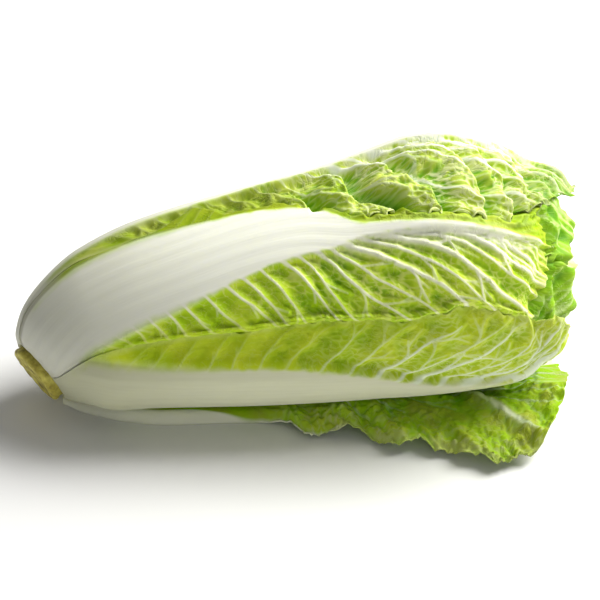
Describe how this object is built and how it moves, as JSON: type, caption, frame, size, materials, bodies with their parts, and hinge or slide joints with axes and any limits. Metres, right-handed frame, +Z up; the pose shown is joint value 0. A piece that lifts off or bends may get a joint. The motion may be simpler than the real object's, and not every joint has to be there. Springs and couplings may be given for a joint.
{
  "type": "napa cabbage",
  "caption": "Long head of a leafy vegetable lying on its side: thick pale stalks from a cut stump, crinkled leaf blades wrapped to a closed crown, and a loose leaf spread underneath.",
  "frame": {"origin": "middle of the surface that the head rests on, under the centre of its bounding box", "axes": "+X from the stump to the crown, +Z up, -Y the side towards which the loose leaf spreads"},
  "size_m": [0.3461, 0.1791, 0.1633],
  "materials": {
    "wrapper_leaf": "matt crinkled leaf, yellow-green blade with a white midrib and veins",
    "under_leaf": "matt crinkled leaf, deeper green blade with a white midrib and veins",
    "inner_leaf": "matt crinkled leaf, pale yellow-green with white veins",
    "heart": "pale yellow young leaves, folded tight",
    "stump": "cut stem, yellow-brown and matt, a little dried at the rim"
  },
  "bodies": {
    "root": {"leaf_under": "under_leaf", "leaf_top_back": "wrapper_leaf", "leaf_front": "wrapper_leaf", "leaf_low_back": "wrapper_leaf", "leaf_top": "wrapper_leaf", "inner_leaf_1": "inner_leaf", "inner_leaf_2": "inner_leaf", "inner_leaf_3": "inner_leaf", "inner_leaf_4": "inner_leaf", "inner_leaf_5": "inner_leaf", "inner_leaf_6": "inner_leaf", "inner_leaf_7": "inner_leaf", "inner_leaf_8": "inner_leaf", "inner_leaf_9": "inner_leaf", "inner_leaf_10": "inner_leaf", "stump": "stump", "heart": "heart"}
  },
  "joints": []
}
